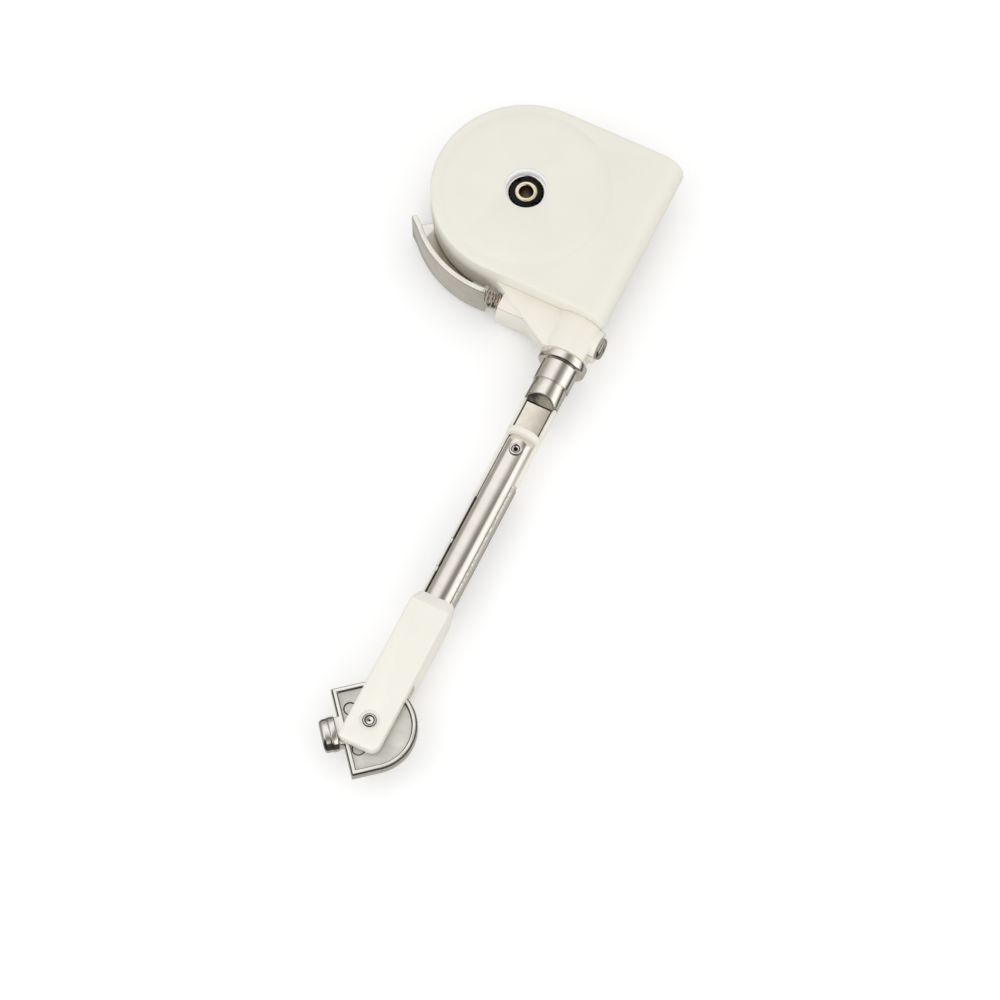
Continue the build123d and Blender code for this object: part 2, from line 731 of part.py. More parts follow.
# ---------------------------------------------------------------- guide, tube and rivet
with BuildPart() as guide:
    with BuildSketch(section_plane(guide_top_y)):
        Circle(guide_r)
    extrude(amount=guide_top_y - guide_step_y)
    with BuildSketch(section_plane(guide_step_y)):
        Circle(guide_r)
        with Locations((0, flank_top)):
            Rectangle(
                2 * guide_r, 2 * guide_r, align=(Align.CENTER, Align.MIN), mode=Mode.SUBTRACT
            )
        with Locations((0, -tube_depth)):
            Rectangle(
                2 * tube_half_w + 2 * fit_gap, 2 * guide_r, align=(Align.CENTER, Align.MIN),
                mode=Mode.SUBTRACT,
            )
    extrude(amount=guide_step_y - tail_left_y)
    with BuildSketch(section_plane(guide_top_y)):
        Rectangle(blade_w + 2 * run_gap, 2 * guide_r)
    extrude(amount=guide_top_y - guide_floor_y, mode=Mode.SUBTRACT)
    with BuildSketch(section_plane(guide_floor_y)):
        with Locations((0, -blade_t / 2 - run_gap)):
            Rectangle(
                blade_w + 2 * run_gap, 2 * guide_r, align=(Align.CENTER, Align.MIN)
            )
    extrude(amount=guide_floor_y - window_end_y, mode=Mode.SUBTRACT)
    with BuildSketch(section_plane(window_end_y)):
        with Locations((0, (tongue_top - tongue_bottom) / 2)):
            Rectangle(tongue_w + 2 * run_gap, tongue_top + tongue_bottom + 2 * run_gap)
    extrude(amount=window_end_y - guide_step_y, mode=Mode.SUBTRACT)
    with BuildSketch(section_plane(tail_right_y)):
        with Locations((-tube_half_w - fit_gap, 0)):
            Rectangle(
                reach, 2 * guide_r, align=(Align.MIN, Align.CENTER)
            )
        with Locations((0, -tube_depth)):
            Rectangle(reach, guide_r, align=(Align.CENTER, Align.MAX))
    extrude(amount=tail_right_y - tail_left_y, mode=Mode.SUBTRACT)
    with BuildSketch(Plane.XY.offset(arm_z - guide_r)):
        with Locations((arm_x, tube_rivet_y)):
            Circle(tube_rivet_body_r + fit_gap)
    extrude(amount=guide_r, mode=Mode.SUBTRACT)
    with BuildSketch(Plane.YZ.offset(arm_x)):
        with Locations((flank_hole_y, arm_z - flank_hole_z)):
            Circle(flank_hole_r)
    extrude(amount=guide_r, mode=Mode.SUBTRACT)
guide.part.label = "guide"

tube_arc_z = tube_crown - tube_arc_r
tube_inner_w = tube_half_w - tube_wall
tube_outer_w = tube_half_w - tube_shoulder
tube_shoulder_z = tube_arc_z + math.sqrt(tube_arc_r ** 2 - tube_outer_w ** 2)
tube_inner_z = tube_arc_z + math.sqrt((tube_arc_r - tube_wall) ** 2 - tube_inner_w ** 2)

with BuildPart() as front_tube:
    with BuildSketch(section_plane(guide_step_y - fit_gap)):
        with BuildLine():
            Polyline(
                (-tube_outer_w, tube_shoulder_z), (-tube_half_w, tube_shoulder_z),
                (-tube_half_w, -tube_depth), (-tube_inner_w, -tube_depth),
                (-tube_inner_w, tube_inner_z),
            )
            ThreePointArc(
                (-tube_inner_w, tube_inner_z), (0, tube_crown - tube_wall),
                (tube_inner_w, tube_inner_z),
            )
            Polyline(
                (tube_inner_w, tube_inner_z), (tube_inner_w, -tube_depth),
                (tube_half_w, -tube_depth), (tube_half_w, tube_shoulder_z),
                (tube_outer_w, tube_shoulder_z),
            )
            ThreePointArc(
                (tube_outer_w, tube_shoulder_z), (0, tube_crown),
                (-tube_outer_w, tube_shoulder_z),
            )
        make_face()
    extrude(amount=guide_step_y - fit_gap - tube_end_y)
    with BuildSketch(Plane.XY.offset(arm_z + tube_crown - tube_rivet_head_h)):
        with Locations((arm_x, tube_rivet_y)):
            Circle(tube_rivet_r + fit_gap)
    extrude(amount=tube_rivet_head_h, mode=Mode.SUBTRACT)
    with BuildSketch(Plane.XY.offset(arm_z)):
        with Locations((arm_x, tube_rivet_y)):
            Circle(tube_rivet_body_r + fit_gap)
    extrude(amount=tube_crown, mode=Mode.SUBTRACT)
    with BuildSketch(Plane.XY.offset(arm_z)):
        with Locations((arm_x - tube_half_w, guide_step_y)):
            Rectangle(
                tube_corner_chamfer * math.sqrt(2), tube_corner_chamfer * math.sqrt(2), rotation=45
            )
    extrude(amount=tube_crown, mode=Mode.SUBTRACT)
front_tube.part.label = "front_tube"

with BuildPart() as tube_rivet:
    with BuildSketch(Plane.XY.offset(arm_z - guide_r + fit_gap)):
        with Locations((arm_x, tube_rivet_y)):
            Circle(tube_rivet_body_r)
    extrude(amount=guide_r - fit_gap + tube_crown - tube_rivet_head_h)
    with BuildSketch(Plane.XY.offset(arm_z + tube_crown - tube_rivet_head_h)):
        with Locations((arm_x, tube_rivet_y)):
            Circle(tube_rivet_r)
    extrude(amount=2 * tube_rivet_head_h)
    fillet(tube_rivet.edges().group_by(Axis.Z)[-1], tube_rivet_head_h / 2)
    with BuildSketch(Plane.XY.offset(arm_z - guide_r)):
        with Locations((arm_x, tube_rivet_y)):
            Circle(tube_rivet_bore_r)
    extrude(amount=2 * guide_r, mode=Mode.SUBTRACT)
tube_rivet.part.label = "tube_rivet"

# ---------------------------------------------------------------- channel and grip
with BuildPart() as outer_channel:
    with BuildSketch(section_plane(channel_right_y)):
        with Locations((0, -channel_bottom)):
            Rectangle(
                2 * channel_half_w, channel_bottom + channel_top,
                align=(Align.CENTER, Align.MIN),
            )
        with Locations((0, -channel_bottom + channel_wall)):
            Rectangle(
                2 * (channel_half_w - channel_wall), channel_bottom + channel_top,
                align=(Align.CENTER, Align.MIN), mode=Mode.SUBTRACT,
            )
        with Locations((channel_half_w - channel_wall, channel_top)):
            Rectangle(2 * channel_lip, channel_lip_t, align=(Align.CENTER, Align.MAX))
    extrude(amount=channel_right_y - channel_end_y)
    with BuildSketch(section_plane(channel_right_y)):
        with Locations((-channel_half_w, -channel_bottom + channel_wall)):
            Rectangle(2 * channel_wall + fit_gap, 2 * boss_r, align=(Align.CENTER, Align.MIN))
    extrude(amount=channel_right_y - channel_left_y, mode=Mode.SUBTRACT)
    with BuildSketch(Plane.XY.offset(arm_z + channel_top)):
        with Locations(*[(arm_x - channel_half_w, y) for y in channel_slots_y]):
            Rectangle(2 * channel_wall + fit_gap, channel_slot[0])
    extrude(amount=-channel_slot[1], mode=Mode.SUBTRACT)
outer_channel.part.label = "outer_channel"

with BuildPart() as grip:
    with BuildSketch(Plane.XY.offset(arm_z - grip_front)):
        with BuildLine():
            Polyline(
                (arm_x - grip_w / 2, grip_end_y + grip_left_r), (arm_x - grip_w / 2, grip_nose_y),
                (arm_x + grip_w / 2, grip_nose_y), (arm_x + grip_w / 2, grip_end_y + grip_right_r),
            )
            RadiusArc(
                (arm_x + grip_w / 2, grip_end_y + grip_right_r),
                (arm_x + grip_w / 2 - grip_right_r, grip_end_y), grip_right_r,
            )
            Line(
                (arm_x + grip_w / 2 - grip_right_r, grip_end_y),
                (arm_x - grip_w / 2 + grip_left_r, grip_end_y),
            )
            RadiusArc(
                (arm_x - grip_w / 2 + grip_left_r, grip_end_y),
                (arm_x - grip_w / 2, grip_end_y + grip_left_r), grip_left_r,
            )
        make_face()
    extrude(amount=2 * grip_front)
    long_edges = grip.edges().filter_by(Plane.XY)
    fillet(long_edges.sort_by(Axis.Y)[:-2], grip_edge_round)
    with BuildSketch(section_plane(grip_nose_y)):
        RectangleRounded(grip_w, 2 * grip_front, grip_edge_round)
    with BuildSketch(section_plane(grip_mouth_y)):
        with Locations((0, (grip_mouth_top - grip_mouth_bottom) / 2)):
            RectangleRounded(grip_mouth_w, grip_mouth_top + grip_mouth_bottom, grip_mouth_round)
    loft()
    with BuildSketch(section_plane(grip_mouth_y)):
        with Locations((0, -channel_bottom - fit_gap)):
            Rectangle(
                2 * (channel_half_w + fit_gap), channel_bottom + channel_top + 2 * fit_gap,
                align=(Align.CENTER, Align.MIN),
            )
        Rectangle(
            2 * (tube_half_w + face_gap), tube_crown + 2 * face_gap,
            align=(Align.CENTER, Align.MIN),
        )
    extrude(amount=grip_mouth_y - channel_end_y + fit_gap, mode=Mode.SUBTRACT)
    with BuildSketch(section_plane(fork_root_y)):
        Rectangle(reach, bracket_t + 2 * fork_gap)
    extrude(amount=reach, mode=Mode.SUBTRACT)
    with Locations((pivot_x, pivot_y, arm_z + grip_front)):
        Hole(pivot_r + fit_gap)
    with BuildSketch(Plane.XY.offset(arm_z + grip_front)):
        with Locations((pivot_x, pivot_y)):
            Circle(spot_face_r)
    extrude(amount=-spot_face_depth, mode=Mode.SUBTRACT)
    with BuildSketch(Plane.XY.offset(arm_z - grip_front)):
        with Locations((pivot_x, pivot_y)):
            Circle(spot_face_r)
    extrude(amount=spot_face_depth, mode=Mode.SUBTRACT)
grip.part.label = "grip"

head_z = grip_front - spot_face_depth

with BuildPart() as pivot_rivet:
    with BuildSketch(Plane.XY.offset(arm_z)):
        with Locations((pivot_x, pivot_y)):
            Circle(pivot_r)
    extrude(amount=head_z, both=True)
    with BuildSketch(Plane.XY.offset(arm_z + head_z)):
        with Locations((pivot_x, pivot_y)):
            Circle(pivot_head_r)
    extrude(amount=pivot_head_h)
    fillet(pivot_rivet.edges().group_by(Axis.Z)[-1], pivot_head_h / 2)
    with Locations((pivot_x, pivot_y, arm_z + head_z + pivot_head_h)):
        Cone(
            pivot_dimple_foot_r, pivot_dimple_r, pivot_dimple,
            align=(Align.CENTER, Align.CENTER, Align.MAX), mode=Mode.SUBTRACT,
        )
    with BuildSketch(Plane.XY.offset(arm_z - head_z)):
        with Locations((pivot_x, pivot_y)):
            Circle(pivot_head_r)
    extrude(amount=-pivot_head_h)
pivot_rivet.part.label = "pivot_rivet"

# ---------------------------------------------------------------- end bracket
bracket_plane = Plane(
    origin=(pivot_x, pivot_y, arm_z),
    x_dir=(math.cos(math.radians(bracket_turn)), math.sin(math.radians(bracket_turn)), 0),
    z_dir=(0, 0, 1),
)
bracket_web = bracket_t / 2 - bracket_recess
stud_plane = Plane(
    origin=bracket_plane.from_local_coords((bracket_edge, -stud_offset, 0)),
    x_dir=bracket_plane.y_dir,
    z_dir=bracket_plane.x_dir,
)
bracket_axis = Axis(bracket_plane.origin, bracket_plane.x_dir)


def bracket_outline(inset):
    """Half round about the pivot with a straight edge across its open side."""
    with BuildSketch() as outline:
        Circle(bracket_r - inset)
        with Locations(((bracket_edge - inset) / 2, 0)):
            Rectangle(bracket_edge - inset, 2 * (bracket_r - inset))
        with Locations((bracket_edge - inset, 0)):
            Rectangle(
                bracket_r, 2 * bracket_r, align=(Align.MIN, Align.CENTER), mode=Mode.SUBTRACT
            )
    return outline.sketch


with BuildPart() as end_bracket:
    with BuildSketch(bracket_plane):
        add(bracket_outline(0))
    extrude(amount=bracket_band_t / 2, both=True)
    with BuildSketch(bracket_plane):
        add(bracket_outline(bracket_band_step))
    extrude(amount=bracket_t / 2, both=True)
    with BuildSketch(bracket_plane.offset(bracket_web), bracket_plane.offset(-bracket_t / 2)):
        add(bracket_outline(bracket_band_step + bracket_rim_w))
    extrude(amount=bracket_recess, mode=Mode.SUBTRACT)
    with BuildSketch(Plane.XY.offset(arm_z + bracket_web)):
        with Locations(*ejector_at):
            Circle(ejector_r)
    extrude(amount=-ejector_step, mode=Mode.SUBTRACT)
    with BuildSketch(stud_plane.offset(-bracket_band_step)):
        Rectangle(stud_neck_w, bracket_t)
    extrude(amount=bracket_band_step + stud_neck_len)
    with BuildSketch(stud_plane.offset(stud_neck_len)):
        Circle(stud_flange_r)
    extrude(amount=stud_flange_end - stud_neck_len)
    with BuildSketch(stud_plane.offset(stud_flange_end)):
        Circle(stud_r)
    extrude(amount=stud_len - stud_flange_end)
    chamfer(
        end_bracket.edges().filter_by(GeomType.CIRCLE).sort_by(bracket_axis)[-1],
        stud_head_chamfer,
    )
    with Locations((pivot_x, pivot_y, arm_z + bracket_t / 2)):
        Hole(pivot_r + run_gap)
end_bracket.part.label = "end_bracket"

with BuildPart() as friction_washers:
    with BuildSketch(
        Plane.XY.offset(arm_z + bracket_web + face_gap),
        Plane.XY.offset(arm_z - bracket_t / 2 - fork_gap),
    ):
        with Locations((pivot_x, pivot_y)):
            Circle(washer_r)
            Circle(pivot_r + fit_gap, mode=Mode.SUBTRACT)
    extrude(amount=bracket_recess + fork_gap - face_gap)
friction_washers.part.label = "friction_washers"

# ---------------------------------------------------------------- files
for piece in (
    mounting_plate, hub_post, threaded_bush, adjuster_ring, damper_rotor, damper_cup,
    damper_cap, damper_screws, bearing_washer, chassis_plate, front_cover, rear_case,
    case_screws, clamp_screw, release_lever, lever_spring, arm_rod, guide, front_tube,
    tube_rivet, outer_channel, grip, pivot_rivet, end_bracket, friction_washers,
):
    export_step(piece.part, f"parts/{piece.part.label}.step")
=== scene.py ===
import json
import math

import bmesh
import bpy
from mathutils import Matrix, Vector

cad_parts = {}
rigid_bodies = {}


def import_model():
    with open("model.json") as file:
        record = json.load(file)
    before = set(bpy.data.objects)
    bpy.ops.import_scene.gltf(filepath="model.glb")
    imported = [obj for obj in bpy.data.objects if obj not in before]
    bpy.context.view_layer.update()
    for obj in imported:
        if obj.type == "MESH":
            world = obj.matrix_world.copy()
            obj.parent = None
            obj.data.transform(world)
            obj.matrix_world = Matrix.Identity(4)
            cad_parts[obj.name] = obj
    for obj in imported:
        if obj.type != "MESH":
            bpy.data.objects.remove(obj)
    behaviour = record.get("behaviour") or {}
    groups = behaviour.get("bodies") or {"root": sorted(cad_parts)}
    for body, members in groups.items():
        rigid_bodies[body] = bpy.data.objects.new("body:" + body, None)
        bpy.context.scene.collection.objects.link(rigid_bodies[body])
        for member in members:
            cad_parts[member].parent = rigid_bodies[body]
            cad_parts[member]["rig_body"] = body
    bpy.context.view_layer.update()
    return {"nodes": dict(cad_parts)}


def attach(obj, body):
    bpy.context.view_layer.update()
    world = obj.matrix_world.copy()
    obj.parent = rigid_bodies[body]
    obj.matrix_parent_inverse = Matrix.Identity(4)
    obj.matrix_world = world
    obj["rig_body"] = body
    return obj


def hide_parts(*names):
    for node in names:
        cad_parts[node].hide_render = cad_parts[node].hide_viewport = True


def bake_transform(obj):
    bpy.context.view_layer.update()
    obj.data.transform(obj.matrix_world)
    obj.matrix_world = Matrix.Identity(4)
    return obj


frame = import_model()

bl_info = {
    "name": "Lid stay",
    "version": (1, 0, 0),
    "blender": (4, 5, 0),
    "location": "View3D > Sidebar > Lid stay",
    "description": "Dresses the lid stay's frame and sets it on a white table",
    "category": "Object",
}

MM = 0.001

# Places on the stay, in millimetres.
ARM_X = 31.1
ARM_Z = 9.4                     # height of the arm's axis
FACE_Z = 19.7                   # the cover's face
TUBE_RIVET = (31.1, -70.5)
PIVOT = (31.3, -160.6)
GROOVE_Y = (-48.24, -48.46)     # fine groove at the step of the rod
NECK_Y = -53.4                  # the rod is flat from here on
SHOULDER_Y = (-56.2, -52.6)     # slanted face that leads down to the blade
BLADE_HALF_W = 4.0
# Width of the painted shade line beside the blade.
BLADE_LINE = 0.4                # dark line beside the blade
FLANK = ((20.0, -64.8), (42.0, -50.0))
FLANK_Z = 1.45                  # the guide's flanks, above the arm's axis
RECESS_DEPTH = 1.35             # floor of the bracket's recess, from its middle
BLADE = ((ARM_X - BLADE_HALF_W) * MM, (ARM_X + BLADE_HALF_W) * MM)
THREAD_R = 2.1                  # bore of the bush
# Faces of the front tube left of this line get painted shade and painted dark reflection.
TUBE_EDGE_X = 27.5              # left edge of the front tube
STUD_END_X = 19.2               # the stud's neck lies left of this
RIM_FROM, RIM_TO = 1.0, 3.0     # heights of the bracket's rim, from its middle

# Bands painted by place, in metres.
LIP = (0.03514, 0.03538)        # sheared edge of the channel's lip, along X
CASE_SEAM = (0.01148, 0.01172)  # joint of cover and case, in height
# Painted shade line at the foot of the shoulder, in height.
SHOULDER_FOOT = (0.0100, 0.01110)

# Broken edges, in metres.
TURNED_EDGE = 0.00006
SHEET_EDGE = 0.00008
ROD_EDGE = 0.00012
LEVER_EDGE = 0.00025
RIM_EDGE = 0.0003
MOULDED_ANGLE = 28.0            # moulded forms keep an edge past this, in degrees


def srgb(red, green, blue):
    """Linear colour of an sRGB colour written 0 to 255."""
    def channel(value):
        value /= 255.0
        return value / 12.92 if value <= 0.04045 else ((value + 0.055) / 1.055) ** 2.4
    return (channel(red), channel(green), channel(blue))


# ------------------------------------------------------------------ properties

def colour(name, description, value):
    """A colour that the user can change."""
    return bpy.props.FloatVectorProperty(
        name=name, description=description, subtype="COLOR", size=3, min=0.0, max=1.0,
        default=value,
    )


def length(name, description, value):
    """A length that the user can change, in metres."""
    return bpy.props.FloatProperty(
        name=name, description=description, unit="LENGTH", subtype="DISTANCE",
        default=value, precision=6,
    )


class LidStayColours(bpy.types.PropertyGroup):
    shell: colour("Cover", "Ivory of the cover", srgb(235, 232, 221))
    case: colour("Rear case", "Ivory of the rear case and its socket", srgb(240, 236, 225))
    grip: colour("Grip", "Ivory of the grip", srgb(241, 238, 228))
    nickel: colour("Nickel", "Polished nickel plate", (0.90, 0.865, 0.80))
    satin: colour("Satin nickel", "Drawn and pressed nickel plate", (0.88, 0.845, 0.78))
    milled: colour("Milled nickel", "Flat blade and its shoulder", (0.98, 0.91, 0.80))
    cast: colour("Cast plate", "Nickel on the rough cast bracket", srgb(234, 233, 224))
    steel: colour("Steel", "Plain steel inside the stay", srgb(168, 168, 166))
    brass: colour("Brass", "Turned brass bush", srgb(250, 238, 204))
    black: colour("Black steel", "Blackened adjuster ring", srgb(38, 38, 40))
    damper: colour("Damper", "Moulded damper pieces", srgb(62, 64, 67))
    spring: colour("Spring", "Nickel spring wire", srgb(206, 190, 176))


class LidStaySizes(bpy.types.PropertyGroup):
    edge: length("Edge", "Broken edge of machined pieces", 0.00018)
    moulded_edge: length("Moulded edge", "Rounding of moulded edges", 0.00035)
    grain: length("Grain", "Width of the moulding grain", 0.00022)


class LidStayStage(bpy.types.PropertyGroup):
    azimuth: bpy.props.FloatProperty(
        name="Azimuth", description="Turn of the view about the upright axis",
        subtype="ANGLE", unit="ROTATION", default=math.radians(26.1),
    )
    elevation: bpy.props.FloatProperty(
        name="Elevation", description="Height of the view over the table",
        subtype="ANGLE", unit="ROTATION", default=math.radians(67.7),
    )
    distance: length("Distance", "From the camera to the point it looks at", 1.04167)
    lens: bpy.props.FloatProperty(
        name="Lens", description="Focal length", subtype="DISTANCE_CAMERA", default=135.0,
    )
    aim: bpy.props.FloatVectorProperty(
        name="Aim", description="Point the camera looks at", subtype="XYZ", unit="LENGTH",
        size=3, default=(0.03327, -0.08484, 0.008), precision=5,
    )


# ------------------------------------------------------------------ node materials

class Shader:
    """A material's node tree with short calls for its usual parts."""

    def __init__(self, name, base, metallic, roughness, **sockets):
        self.material = bpy.data.materials.new(name)
        self.material.use_nodes = True
        self.tree = self.material.node_tree
        self.bsdf = self.tree.nodes["Principled BSDF"]
        self.bsdf.inputs["Base Color"].default_value = (*base, 1.0)
        self.bsdf.inputs["Metallic"].default_value = metallic
        self.bsdf.inputs["Roughness"].default_value = roughness
        for socket, value in sockets.items():
            self.bsdf.inputs[socket.replace("_", " ")].default_value = value
        self.base = base
        self.height = None

    def node(self, kind, **values):
        made = self.tree.nodes.new(kind)
        for key, value in values.items():
            if hasattr(made, key):
                setattr(made, key, value)
            else:
                made.inputs[key.replace("_", " ")].default_value = value
        return made

    def link(self, source, target):
        self.tree.links.new(source, target)

    def place(self, stretch=(1.0, 1.0, 1.0)):
        """Position on the piece, stretched along X, Y and Z."""
        where = self.node("ShaderNodeTexCoord")
        mapping = self.node("ShaderNodeMapping")
        mapping.inputs["Scale"].default_value = stretch
        self.link(where.outputs["Object"], mapping.inputs["Vector"])
        return mapping.outputs["Vector"]

    def grain(self, size, stretch=(1.0, 1.0, 1.0), detail=3.0, rough=0.55):
        """Noise whose marks are about this size, in metres."""
        made = self.node("ShaderNodeTexNoise", Scale=1.0 / size, Detail=detail, Roughness=rough)
        self.link(self.place(stretch), made.inputs["Vector"])
        return made.outputs["Fac"]

    def flecks(self, size, reach):
        """Sparse round marks of a size, one to a cell."""
        made = self.node("ShaderNodeTexVoronoi", Scale=1.0 / reach, Randomness=1.0)
        self.link(self.place(), made.inputs["Vector"])
        ramp = self.node("ShaderNodeMapRange")
        ramp.inputs["From Min"].default_value = size / reach
        ramp.inputs["From Max"].default_value = 0.6 * size / reach
        self.link(made.outputs["Distance"], ramp.inputs["Value"])
        return ramp.outputs["Result"]

    def spread(self, value, low, high):
        """A value from 0.3 to 0.7 spread over low to high."""
        made = self.node("ShaderNodeMapRange")
        made.inputs["From Min"].default_value = 0.3
        made.inputs["From Max"].default_value = 0.7
        made.inputs["To Min"].default_value = low
        made.inputs["To Max"].default_value = high
        self.link(value, made.inputs["Value"])
        return made.outputs["Result"]

    def tint(self, value, dark, light):
        """Colour that runs from dark to light times the base."""
        made = self.node("ShaderNodeMix", data_type="RGBA")
        made.inputs["A"].default_value = (*[c * dark for c in self.base], 1.0)
        made.inputs["B"].default_value = (*[min(c * light, 1.0) for c in self.base], 1.0)
        self.link(value, made.inputs["Factor"])
        self.paint(made.outputs["Result"])
        return made

    def dark_band(self, colour, low, high, axis="Z", depth=0.3):
        """Darkens the colour between two places on an axis. It draws the dark joint between cover
        and case, the torn lip of the channel, and painted shade lines along gaps and creases of
        the rod.
        """
        height = self.node("ShaderNodeSeparateXYZ")
        self.link(self.place(), height.inputs["Vector"])
        middle = self.node("ShaderNodeMath", operation="COMPARE")
        middle.inputs[1].default_value = (low + high) / 2
        middle.inputs[2].default_value = (high - low) / 2
        self.link(height.outputs[axis], middle.inputs[0])
        mix = self.node("ShaderNodeMix", data_type="RGBA")
        mix.inputs["B"].default_value = (*[c * depth for c in self.base], 1.0)
        self.link(colour, mix.inputs["A"])
        self.link(middle.outputs[0], mix.inputs["Factor"])
        self.paint(mix.outputs["Result"])
        return middle.outputs[0], mix

    def paint(self, value):
        self.link(value, self.bsdf.inputs["Base Color"])

    def rough(self, value, low, high):
        self.link(self.spread(value, low, high), self.bsdf.inputs["Roughness"])

    def bump(self, value, depth):
        """Adds relief of a depth in metres over what is there."""
        made = self.node("ShaderNodeBump", Strength=1.0, Distance=depth)
        self.link(value, made.inputs["Height"])
        if self.height:
            self.link(self.height, made.inputs["Normal"])
        self.height = made.outputs["Normal"]
        self.link(self.height, self.bsdf.inputs["Normal"])


def moulded_plastic(name, base, grain, roughness, seam=None):
    """Satin plastic with a fine grain, a few specks and, where asked, a parting line."""
    shader = Shader(name, base, 0.0, roughness, Specular_IOR_Level=0.42)
    fine = shader.grain(grain)
    shader.bump(fine, 0.000012)
    shader.bump(shader.grain(grain * 24, detail=1.0), 0.00002)
    tone = shader.tint(shader.spread(shader.grain(grain * 60), 0.2, 0.8), 0.975, 1.015)
    specks = shader.flecks(0.00011, 0.0062)
    mix = shader.node("ShaderNodeMix", data_type="RGBA")
    mix.inputs["B"].default_value = (*[c * 0.55 for c in base], 1.0)
    shader.link(tone.outputs["Result"], mix.inputs["A"])
    shader.link(specks, mix.inputs["Factor"])
    shader.paint(mix.outputs["Result"])
    shader.rough(fine, roughness - 0.05, roughness + 0.05)
    if seam:
        shader.dark_band(mix.outputs["Result"], *seam)
    return shader.material


def painted_shade_nickel(colours):
    """Nickel painted near black, as painted shade and painted dark reflection in creases, on
    rounded edges and on the walls of recesses.
    """
    return metal_finish("painted_shade_nickel", [0.16 * part for part in colours.nickel], 0.4)


def metal_finish(name, base, roughness, lines=None, mottle=0.0, painted_shade_lines=(), rag=None, metallic=1.0):
    """Metal with brushed or turned lines, mottling, painted shade lines or a torn edge."""
    shader = Shader(name, base, metallic, roughness)
    tone = shader.grain(0.004, detail=4.0)
    mix = shader.tint(shader.spread(tone, 0.0, 1.0), 1.0 - 0.08 - mottle, 1.0)
    # Painted shade: dark bands along gaps and creases.
    for axis, low, high in painted_shade_lines:
        _, mix = shader.dark_band(mix.outputs["Result"], low, high, axis, 0.1)
    if rag:
        band, mix = shader.dark_band(mix.outputs["Result"], *rag, "X", 0.3)
        torn = shader.node("ShaderNodeMath", operation="MULTIPLY")
        shader.link(band, torn.inputs[0])
        shader.link(shader.spread(shader.grain(0.0005, detail=2.0), -1.2, 2.2), torn.inputs[1])
        torn.use_clamp = True
        shader.link(torn.outputs[0], mix.inputs["Factor"])
    if lines:
        drawn = shader.grain(0.00018, stretch=lines, detail=2.0)
        shader.bump(drawn, 0.000006)
        shader.rough(drawn, roughness - 0.06, roughness + 0.1)
    else:
        cloud = shader.grain(0.0011, detail=5.0)
        shader.rough(cloud, roughness - 0.05, roughness + 0.08)
    if mottle:
        shader.bump(shader.grain(0.0006, detail=4.0), 0.00001 + 0.00006 * mottle)
    return shader.material


# ------------------------------------------------------------------ mesh tools

def dressed_copy(node, material, edge, segments=2, angle=32.0, carve=(), clamp=True):
    """A piece cut from the frame node's own shape, with broken edges and smooth faces."""
    source = frame["nodes"][node]
    mesh = source.data.copy()
    mesh.name = node + "_dressed"
    piece = bpy.data.objects.new(node + "_dressed", mesh)
    bpy.context.scene.collection.objects.link(piece)
    work = bmesh.new()
    work.from_mesh(mesh)
    bmesh.ops.remove_doubles(work, verts=work.verts, dist=2e-6)
    bmesh.ops.dissolve_limit(
        work, angle_limit=math.radians(1.0), verts=work.verts, edges=work.edges,
    )
    work.to_mesh(mesh)
    work.free()
    mesh.materials.clear()
    mesh.materials.append(material)
    mesh.polygons.foreach_set("material_index", [0] * len(mesh.polygons))
    for tool in carve:
        cut = piece.modifiers.new("carve", "BOOLEAN")
        cut.operation = "DIFFERENCE"
        cut.solver = "EXACT"
        cut.object = tool
        apply_modifiers(piece)
        bpy.data.objects.remove(tool)
    if edge:
        cut = piece.modifiers.new("edges", "BEVEL")
        cut.width = edge
        cut.segments = segments
        cut.limit_method = "ANGLE"
        cut.angle_limit = math.radians(angle)
        cut.use_clamp_overlap = clamp
        cut.harden_normals = False
        apply_modifiers(piece)
    smooth(piece, angle)
    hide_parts(node)
    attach(piece, source["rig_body"])
    return piece


def block(low, high):
    """A square cutter between two corners in millimetres."""
    mesh = bpy.data.meshes.new("cutter")
    work = bmesh.new()
    bmesh.ops.create_cube(work, size=1.0)
    for vert in work.verts:
        for axis in range(3):
            vert.co[axis] = MM * (low[axis] if vert.co[axis] < 0 else high[axis])
    work.to_mesh(mesh)
    work.free()
    tool = bpy.data.objects.new("cutter", mesh)
    bpy.context.scene.collection.objects.link(tool)
    return tool


def turned(name, profile, place, along, steps=96):
    """A solid of revolution: closed profile of (radius, height) pairs in millimetres."""
    mesh = bpy.data.meshes.new(name)
    work = bmesh.new()
    turn = Vector(along).to_track_quat("Z", "Y").to_matrix().to_4x4()
    turn.translation = Vector(place) * MM
    rings = []
    for step in range(steps):
        angle = 2.0 * math.pi * step / steps
        rings.append([
            work.verts.new(turn @ (Vector((
                radius * math.cos(angle), radius * math.sin(angle), height,
            )) * MM))
            for radius, height in profile
        ])
    count = len(profile)
    for step in range(steps):
        here, after = rings[step], rings[(step + 1) % steps]
        for index in range(count):
            other = (index + 1) % count
            work.faces.new((here[index], after[index], after[other], here[other]))
    bmesh.ops.recalc_face_normals(work, faces=work.faces)
    work.to_mesh(mesh)
    work.free()
    piece = bpy.data.objects.new(name, mesh)
    bpy.context.scene.collection.objects.link(piece)
    return piece


def repaint(piece, material, test):
    """Second finish for the faces whose centre (mm) and normal pass a test."""
    mesh = piece.data
    mesh.materials.append(material)
    index = len(mesh.materials) - 1
    for face in mesh.polygons:
        if test(face.center / MM, face.normal):
            face.material_index = index


def apply_modifiers(piece):
    """Bakes the piece's modifiers into its mesh."""
    view = bpy.context.evaluated_depsgraph_get()
    baked = bpy.data.meshes.new_from_object(piece.evaluated_get(view))
    piece.modifiers.clear()
    piece.data = baked


